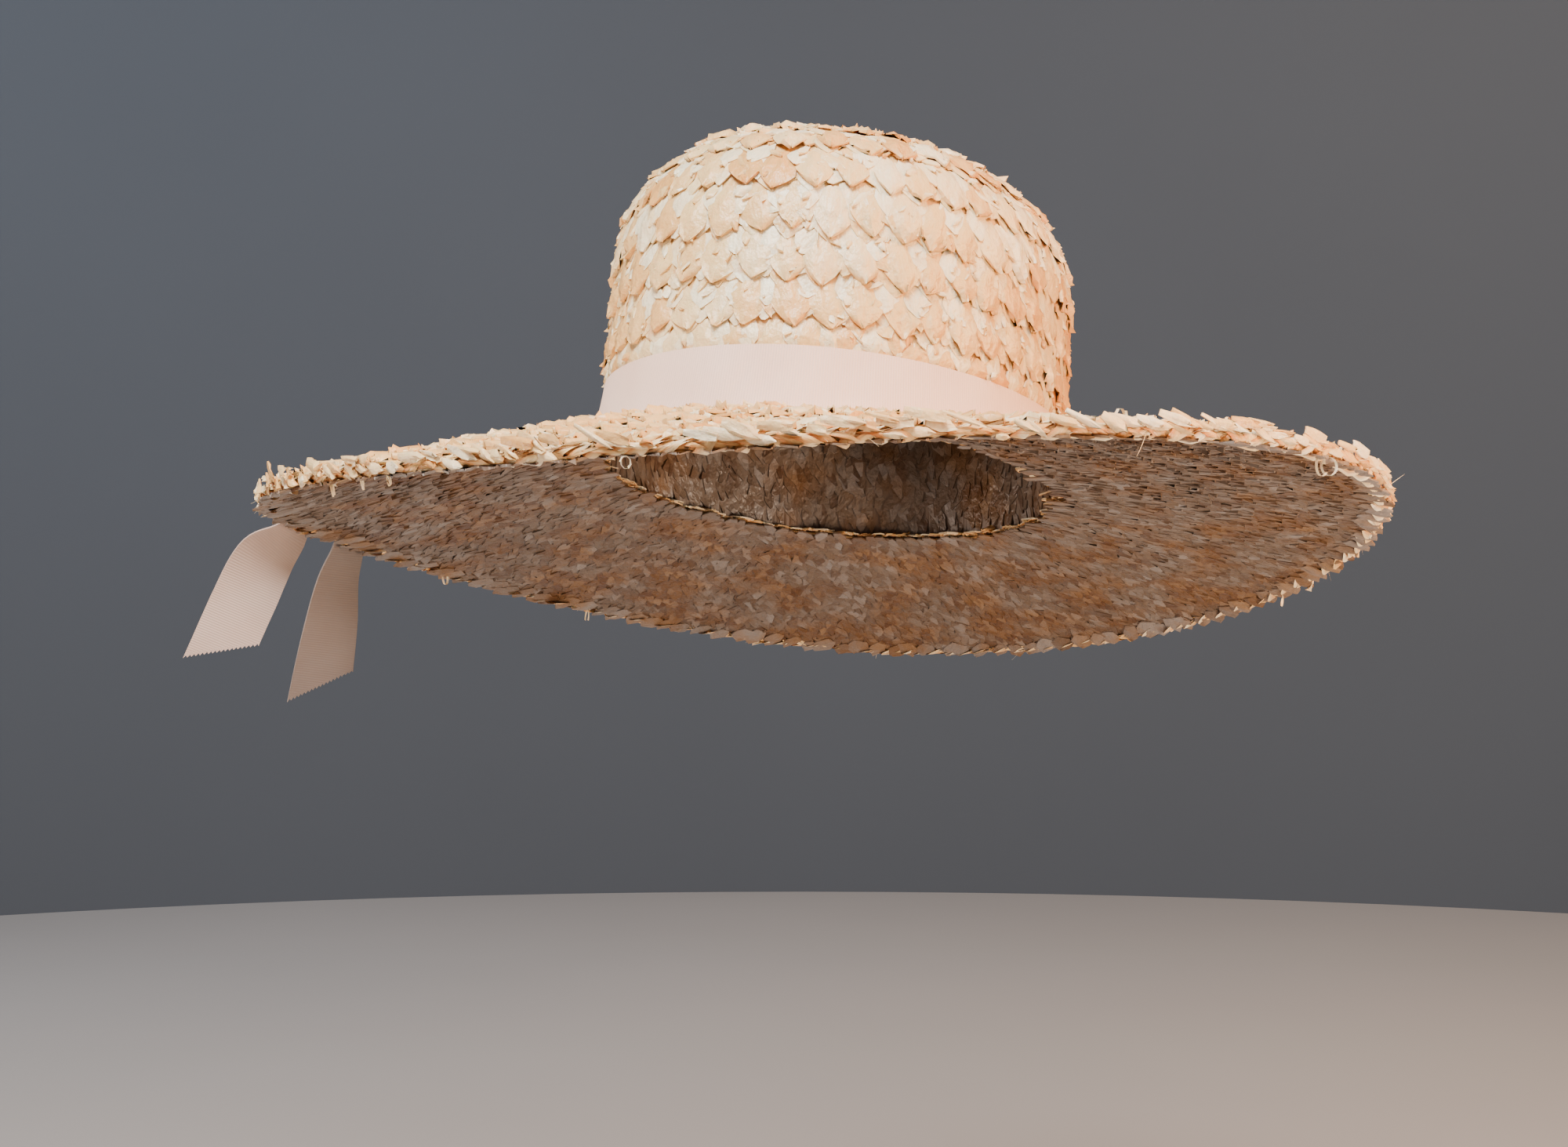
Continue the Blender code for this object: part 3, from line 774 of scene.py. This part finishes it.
def multiply(material, first, second):
    """The product of two colours. A mix node's colour sockets come after those of other kinds."""
    first_colour, second_colour, result_colour = 6, 7, 2
    node = add_node(material, "ShaderNodeMix", data_type="RGBA", blend_type="MULTIPLY")
    node.inputs["Factor"].default_value = 1.0
    join(material, first, node.inputs[first_colour])
    join(material, second, node.inputs[second_colour])
    return node.outputs[result_colour]


def noise_at(material, scale, place="UV"):
    """Noise in a leaf's texture places or in the object's metres, drawn out by scale."""
    coordinates = add_node(material, "ShaderNodeTexCoord")
    mapping = add_node(material, "ShaderNodeMapping")
    mapping.inputs["Scale"].default_value = scale
    join(material, coordinates.outputs[place], mapping.inputs["Vector"])
    noise = add_node(material, "ShaderNodeTexNoise")
    noise.inputs["Scale"].default_value = 1.0
    noise.inputs["Detail"].default_value = 3.0
    join(material, mapping.outputs["Vector"], noise.inputs["Vector"])
    return noise.outputs["Fac"]


def bump(material, height, strength, distance, normal=None):
    node = add_node(material, "ShaderNodeBump")
    node.inputs["Strength"].default_value = strength
    node.inputs["Distance"].default_value = distance
    join(material, height, node.inputs["Height"])
    if normal is not None:
        join(material, normal, node.inputs["Normal"])
    return node.outputs["Normal"]


def straw_material(name, tints, painted_shade_colour, patches, glow):
    """Glossy straw: each leaf has its own tint, with fibres along it and warm painted shade in its
    gaps, set by the shade attribute.
    """
    material, shader = principled(name)
    tint = add_node(material, "ShaderNodeAttribute", attribute_name="tint").outputs["Fac"]
    shade = add_node(material, "ShaderNodeAttribute", attribute_name="shade").outputs["Fac"]
    colour = colour_ramp(material, tuple(zip((0.0, 0.45, 1.0), tints)), tint)
    fibre = noise_at(material, scale=(1500.0, 90.0, 1.0))
    fine = colour_ramp(material, ((0.3, (0.92, 0.88, 0.83)), (0.7, WHITE)), fibre)
    colour = multiply(material, colour, fine)
    cloud = noise_at(material, scale=(38.0, 38.0, 38.0), place="Object")
    colour = multiply(material, colour, colour_ramp(material, patches, cloud))
    # Painted shade: a low shade attribute darkens the colour towards the warm colour of the gaps.
    deep = colour_ramp(material, ((0.0, painted_shade_colour), (0.5, WHITE)), shade)
    join(material, multiply(material, colour, deep), shader.inputs["Base Color"])
    crinkle = noise_at(material, scale=(300.0, 230.0, 1.0))
    rough = bump(material, crinkle, strength=0.9, distance=0.0014)
    relief = bump(material, fibre, strength=0.4, distance=0.0002, normal=rough)
    join(material, relief, shader.inputs["Normal"])
    shader.inputs["Roughness"].default_value = 0.36
    shader.inputs["Specular IOR Level"].default_value = 0.5
    shader.inputs["Subsurface Weight"].default_value = glow
    shader.inputs["Subsurface Radius"].default_value = (1.0, 0.4, 0.2)
    shader.inputs["Subsurface Scale"].default_value = 0.0025
    return material


def ribbon_material():
    """Matt grosgrain: fine ribs across the ribbon, from its texture places in metres."""
    material, shader = principled("grosgrain")
    coordinates = add_node(material, "ShaderNodeTexCoord")
    wave = add_node(material, "ShaderNodeTexWave", wave_type="BANDS", bands_direction="X")
    wave.inputs["Scale"].default_value = RIB_SCALE
    join(material, coordinates.outputs["UV"], wave.inputs["Vector"])
    cloud = noise_at(material, scale=(60.0, 60.0, 60.0))
    base = ((0.35, (0.88, 0.61, 0.49)), (0.65, (0.91, 0.65, 0.53)))
    ribs = ((0.0, (0.93, 0.91, 0.90)), (1.0, WHITE))
    colour = colour_ramp(material, base, cloud)
    colour = multiply(material, colour, colour_ramp(material, ribs, wave.outputs["Fac"]))
    # Painted shade: a low tone darkens the ribbon towards grey where it lies in the straw's shade.
    tone = add_node(material, "ShaderNodeAttribute", attribute_name="tone").outputs["Fac"]
    shades = ((0.0, (0.20, 0.235, 0.26)), (1.0, WHITE))
    colour = multiply(material, colour, colour_ramp(material, shades, tone))
    join(material, colour, shader.inputs["Base Color"])
    relief = bump(material, wave.outputs["Fac"], strength=0.4, distance=0.0002)
    join(material, relief, shader.inputs["Normal"])
    shader.inputs["Roughness"].default_value = 0.72
    shader.inputs["Sheen Weight"].default_value = 0.2
    return material


def plain_material(name, colour, roughness):
    """A matt surface of one colour, with broad and faint clouds."""
    material, shader = principled(name)
    darker = 0.95
    low = tuple(channel * darker for channel in colour)
    cloud = noise_at(material, scale=(2.0, 2.0, 2.0), place="Object")
    tone = colour_ramp(material, ((0.3, low), (0.7, colour)), cloud)
    join(material, tone, shader.inputs["Base Color"])
    shader.inputs["Roughness"].default_value = roughness
    return material


def band_point(height, azimuth, out):
    """A point on the crown's foot under the band, or so far out from it."""
    across, along = oval(azimuth, flare(height) + SEAM_GAP + out)
    return Vector((across, along, height))


def knot_frame():
    """The knot's place on the band: columns outward, forward and up, then its middle."""
    low = band_point(BAND_FOOT, KNOT_AZIMUTH, RIBBON_WALL)
    high = band_point(BAND_FOOT + BAND_HEIGHT, KNOT_AZIMUTH, RIBBON_WALL)
    beside = band_point(BAND_FOOT, KNOT_AZIMUTH + 1.0, RIBBON_WALL)
    up = (high - low).normalized()
    outward = (beside - low).cross(up).normalized()
    along = up.cross(outward)
    middle = (low + high) / 2 + outward * (SEAM_GAP + KNOT_DEPTH / 2)
    placed = Matrix((outward, along, up)).transposed().to_4x4()
    placed.translation = middle
    return placed


def brim_point(share, azimuth, lift):
    """A point over the brim, from 0 at the crown's foot to 1 at the rim."""
    point = brim_surface(BRIM_ROWS * (1.0 - share), azimuth)
    return Vector(point) + Vector((0.0, 0.0, lift))


def tail_start(tail):
    """Where a ribbon end leaves the knot, and a point straight out from there."""
    if tail.leaves == "side":
        offset = Vector((0.0, KNOT_WIDTH / 2 + SEAM_GAP, 0.0))
    else:
        offset = Vector((KNOT_DEPTH / 2 + SEAM_GAP, 0.0, -KNOT_HEIGHT / 8))
    straight = Vector((offset.x, offset.y, 0.0)).normalized() * TAIL_STRAIGHT
    placed = knot_frame()
    return placed @ offset, placed @ (offset + straight)


def brim_height_under(plan):
    """The brim's height under a point, upright."""
    azimuth = math.degrees(math.atan2(plan.x, -plan.y))
    inner = brim_point(0.0, azimuth, 0.0)
    outer = brim_point(1.0, azimuth, 0.0)
    share = (plan.xy.length - inner.xy.length) / (outer.xy.length - inner.xy.length)
    return brim_point(min(1.0, max(0.0, share)), azimuth, 0.0).z


def tail_stations(tail):
    """(point, width, roll) of each row of a ribbon end's tables, with the hat tipped."""
    start, straight = tail_start(tail)
    edge = brim_point(1.0, tail.exit_azimuth, ROW_STEP + TAIL_REST)
    travel = (edge - start) * Vector((1.0, 1.0, 0.0))
    edge += travel.normalized() * TAIL_PAST_RIM
    stations = []
    for row in tail.over:
        plan = start + travel * row.reach
        rest = brim_height_under(plan) + ROW_STEP + TAIL_REST
        blend = min(1.0, row.reach / tail.over[2].reach)
        plan.z = (start.z * (1 - blend) + rest * blend) + RIBBON_WIDTH * tail.arch * row.lift
        stations.append((TILT @ plan, row.width, row.roll))
    stations.insert(1, (TILT @ straight, tail.over[0].width, tail.over[0].roll))
    outward = (TILT @ travel).normalized()
    outward.z = 0.0
    outward.normalize()
    for row in tail.fall:
        swing = outward * (RIBBON_WIDTH * tail.swing * row.out)
        drop = UP * (RIBBON_WIDTH * tail.drop * row.down)
        point = TILT @ edge + swing - drop
        stations.append((point, 1.0, row.roll))
    return stations, outward


def slope_at(values, places, index):
    """How fast the values change at one station, from its neighbours."""
    low = max(0, index - 1)
    high = min(len(values) - 1, index + 1)
    return (values[high] - values[low]) / (places[high] - places[low])


def smooth_between(values, places, index, place):
    """A value on the smooth curve from station index to the next, for numbers or vectors."""
    length = places[index + 1] - places[index]
    share = (place - places[index]) / length
    settle = share * share * (3 - 2 * share)
    leave = share * (1 - share) ** 2 * length
    arrive = share * share * (share - 1) * length
    straight = values[index] * (1 - settle) + values[index + 1] * settle
    turn = slope_at(values, places, index) * leave + slope_at(values, places, index + 1) * arrive
    return straight + turn


def smooth_stations(stations, steps):
    """The stations made into even steps along a smooth path, and the path's length."""
    places = [0.0]
    for before, after in zip(stations, stations[1:]):
        places.append(places[-1] + (after[0] - before[0]).length)
    smooth = []
    for step in range(steps + 1):
        place = places[-1] * step / steps
        index = max(k for k in range(len(places) - 1) if places[k] <= place)
        smooth.append([smooth_between(values, places, index, place) for values in zip(*stations)])
    return smooth, places[-1]


def build_tail(tail, material):
    """A ribbon end: a thin strip along its path with a slanting, pinked cut."""
    stations, outward = tail_stations(tail)
    smooth, length = smooth_stations(stations, TAIL_STEPS)
    left = UP.cross(outward)
    across = np.linspace(-1.0, 1.0, TAIL_COLUMNS)
    rows, places = [], []
    for index, (point, width, roll) in enumerate(smooth):
        ahead = smooth[min(index + 1, TAIL_STEPS)][0]
        behind = smooth[max(index - 1, 0)][0]
        travel = (ahead - behind).normalized()
        side = (left - travel * left.dot(travel)).normalized()
        side = Matrix.Rotation(math.radians(roll), 3, travel) @ side
        slant = CUT_SLANT / 2 * (index / TAIL_STEPS) ** 12
        line = []
        for column, share in enumerate(across):
            pink = PINK_DEPTH * (column % 2) if index == TAIL_STEPS else 0.0
            out = side * (RIBBON_WIDTH * width / 2 * share)
            line.append(point + out + travel * (slant * share - pink))
        rows.append([tuple(vertex) for vertex in line])
        along = length * index / TAIL_STEPS
        places.append([(along + slant * share, RIBBON_WIDTH * share / 2) for share in across])
    points = np.array(rows)
    # Painted shade and light: each end is darkened over the brim and lightened past the rim, where
    # the light gets at it.
    skew, clears_from, clears_over = 0.06, 0.62, 0.3
    run = np.linspace(0.0, 1.0, TAIL_STEPS + 1)[:, None] + skew * across[None, :]
    light = np.clip((run - clears_from) / clears_over, 0.0, 1.0)
    tone = tail.shade + (1.0 - tail.shade) * light * tail.clear
    name = tail.name + "_ribbon"
    return strip_object(name, points, np.array(places), tone, material), length


def strip_object(name, points, places, tone, material):
    """A closed strip from a grid of middle points, thickened to both sides. Its tone is 1 where
    light gets at it and 0 where it is in the warm shade of the straw."""
    rows, columns = points.shape[:2]
    normal = np.cross(np.gradient(points, axis=0), np.gradient(points, axis=1))
    normal /= np.linalg.norm(normal, axis=-1, keepdims=True)
    front = (points + normal * RIBBON_THICK / 2).reshape(-1, 3)
    back = (points - normal * RIBBON_THICK / 2).reshape(-1, 3)
    faces = grid_faces(1, rows, columns)
    count = rows * columns
    border = np.concatenate([
        np.arange(columns),
        np.arange(1, rows) * columns + columns - 1,
        np.arange(columns - 2, -1, -1) + (rows - 1) * columns,
        np.arange(rows - 2, 0, -1) * columns,
    ])
    after = np.roll(border, -1)
    walls = np.stack([border, border + count, after + count, after], axis=-1)
    every = np.concatenate([faces[:, ::-1], faces + count, walls])
    uv = np.concatenate([places.reshape(-1, 2)] * 2)
    looks = {"tone": np.concatenate([tone.ravel(), tone.ravel()])}
    return new_mesh(name, np.concatenate([front, back]), every, material, looks, uv, sharp=60)


def build_band(material):
    """The flat band round the crown's foot, and its length. Its two ends meet under the knot."""
    stand, edge_rise, edge_turns = 0.0006, 0.0003, 3.0
    azimuth = KNOT_AZIMUTH - 360.0 + np.linspace(0.1, 359.9, 361)[:, None]
    height = BAND_FOOT + BAND_HEIGHT * np.linspace(0.0, 1.0, 13)[None, :]
    share = (height - BAND_FOOT) / BAND_HEIGHT
    ripple = sum(row.rise * np.sin(np.radians(azimuth * row.turns + row.phase)) for row in RIPPLES)
    crease = (azimuth - CREASE_AZIMUTH - CREASE_SLANT * (share - 0.5)) / CREASE_WIDTH
    swell = (ripple - CREASE_DEPTH * np.exp(-(crease**2))) * np.sin(math.pi * share)
    across, along = oval(azimuth, flare(height) + SEAM_GAP + stand + swell)
    lift = height + edge_rise * np.sin(np.radians(azimuth * edge_turns)) * share
    points = np.stack([across, along, lift], axis=-1)
    run = np.linalg.norm(np.diff(points[:, 0], axis=0), axis=-1)
    run = np.concatenate([[0.0], np.cumsum(run)])
    places = np.stack(np.broadcast_arrays(run[:, None], height), axis=-1)
    tone = np.ones(lift.shape)
    thing = strip_object("ribbon_band", tipped(points), places, tone, material)
    return thing, run[-1]


def build_knot(material):
    """A plain flat knot: the ribbon wrapped once over itself, with soft upright folds."""
    levels, sides, squareness, folds, fold_depth = 17, 40, 3.2, 3, 0.00035
    angle = np.linspace(0.0, 2 * math.pi, sides + 1)[:-1]
    circle = np.stack([np.cos(angle), np.sin(angle)])
    rounded_x, rounded_y = np.sign(circle) * np.abs(circle) ** (2 / squareness)
    rings, places = [], []
    for height in np.linspace(-0.5, 0.5, levels):
        x = KNOT_DEPTH / 2 * (1.0 - 0.18 * (2 * height) ** 4) * rounded_x
        y = KNOT_WIDTH / 2 * (0.92 + 0.08 * (2 * height) ** 2) * rounded_y
        fold = fold_depth * np.cos(y / KNOT_WIDTH * folds * 2 * math.pi + 1.5 * height)
        level = np.full(sides, height * KNOT_HEIGHT)
        rings.append(np.stack([x + fold * (np.cos(angle) > 0), y, level], axis=-1))
        places.append(np.stack([level, y], axis=-1))
    placed = np.array(knot_frame())
    points = np.concatenate(rings) @ placed[:3, :3].T + placed[:3, 3]
    faces = wrap_faces(levels, sides, closed=False).tolist()
    faces += [list(range(sides))[::-1], list(range((levels - 1) * sides, levels * sides))]
    # Painted shade: the knot's tone of 0.8 darkens it a little all over.
    places, looks = np.concatenate(places), {"tone": np.full(len(points), 0.8)}
    return new_mesh("ribbon_knot", tipped(points), faces, material, looks, places, sharp=60)


def build_stage():
    """The round floor, and the round wall that stands on it."""
    angle = np.linspace(0.0, 2 * math.pi, STAGE_SIDES + 1)[:-1]
    ring = np.stack([np.cos(angle), np.sin(angle)], axis=-1)
    low = np.full((STAGE_SIDES, 1), FLOOR_HEIGHT)
    edge = np.concatenate([ring * FLOOR_RADIUS, low], axis=1)
    points = np.concatenate([[[0.0, 0.0, FLOOR_HEIGHT]], edge])
    faces = np.array([[0, 1 + k, 1 + (k + 1) % STAGE_SIDES] for k in range(STAGE_SIDES)])
    pale = plain_material("pale_floor", FLOOR_COLOUR, 0.7)
    floor = new_mesh("studio_floor", points, faces, pale)
    foot = np.concatenate([ring * WALL_RADIUS, low], axis=1)
    points = np.concatenate([foot, foot + np.array([0.0, 0.0, WALL_HEIGHT])])
    grey = plain_material("grey_wall", WALL_COLOUR, 0.9)
    faces = wrap_faces(2, STAGE_SIDES, closed=False)
    wall = new_mesh("studio_wall", points, faces, grey, sharp=80)
    return floor, wall


def build_light(row):
    light = bpy.data.lights.new(row.name, "AREA")
    light.shape = "SQUARE"
    light.size = row.size
    light.energy = row.power
    light.color = row.colour
    thing = bpy.data.objects.new(row.name, light)
    thing.location = RIGHT * row.right - AWAY * row.near + UP * row.up
    aim_right, aim_away, aim_up = row.aim
    beam = RIGHT * aim_right + AWAY * aim_away + UP * aim_up - thing.location
    thing.rotation_euler = beam.to_track_quat("-Z", "Y").to_euler()
    bpy.context.scene.collection.objects.link(thing)


def build_world():
    world = bpy.context.scene.world or bpy.data.worlds.new("world")
    bpy.context.scene.world = world
    world.use_nodes = True
    background = world.node_tree.nodes["Background"]
    background.inputs["Color"].default_value = (*WORLD_COLOUR, 1.0)
    background.inputs["Strength"].default_value = WORLD_STRENGTH


def build_camera():
    data = bpy.data.cameras.new("camera")
    data.sensor_width = SENSOR_WIDTH
    data.lens = SENSOR_WIDTH * FOCAL_PIXELS / IMAGE_WIDTH
    thing = bpy.data.objects.new("camera", data)
    thing.location = -RIGHT * CAMERA_LEFT - AWAY * CAMERA_DISTANCE - UP * CAMERA_BELOW
    thing.rotation_euler = (math.radians(90.0), 0.0, VIEW_AZIMUTH)
    bpy.context.scene.collection.objects.link(thing)
    bpy.context.scene.camera = thing


def dress(thing, replaces):
    """Puts a piece on the hat's one body, in the place of a solid."""
    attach(thing, "root")
    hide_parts(replaces)


straw = straw_material(
    "straw",
    tints=((0.79, 0.43, 0.15), (0.89, 0.63, 0.31), (0.97, 0.88, 0.66)),
    painted_shade_colour=(0.74, 0.42, 0.20),
    patches=((0.30, (1.0, 0.91, 0.82)), (0.65, WHITE)),
    glow=0.12,
)
# Painted shade: the same straw much darker, for the braid's wrong side, the crown's inside and the
# inner walls, which lie in shade.
shaded_straw = straw_material(
    "shaded_straw",
    tints=((0.11, 0.068, 0.045), (0.165, 0.120, 0.087), (0.27, 0.235, 0.215)),
    painted_shade_colour=(0.74, 0.60, 0.50),
    patches=((0.40, (1.0, 0.70, 0.42)), (0.56, WHITE)),
    glow=0.0,
)
ribbon = ribbon_material()
crown_rows = np.linspace(FOOT_ROW, LAST_ROW - 0.02, 60)
for thing in (
    build_crown(straw),
    build_crown_inside(shaded_straw),
    build_core("straw_crown_core", crown_surface, crown_rows, OUTER_CORE, straw),
    build_core("straw_crown_lining", crown_surface, crown_rows, INNER_CORE, shaded_straw),
):
    dress(thing, "crown")
brim_rows = np.linspace(0.12, BRIM_ROWS, 36)
for thing in (
    *build_brim_top(straw),
    build_brim_under(shaded_straw),
    build_rim(straw),
    build_core("straw_brim_core", brim_surface, brim_rows, OUTER_CORE, straw),
    build_core("straw_brim_backing", brim_surface, brim_rows, INNER_CORE, shaded_straw),
):
    dress(thing, "brim")
band, band_length = build_band(ribbon)
dress(band, "band")
dress(build_knot(ribbon), "knot")
for tail in TAILS:
    thing, tail_length = build_tail(tail, ribbon)
    dress(thing, tail.name)

build_stage()
for row in LIGHTS:
    build_light(row)
build_world()
build_camera()
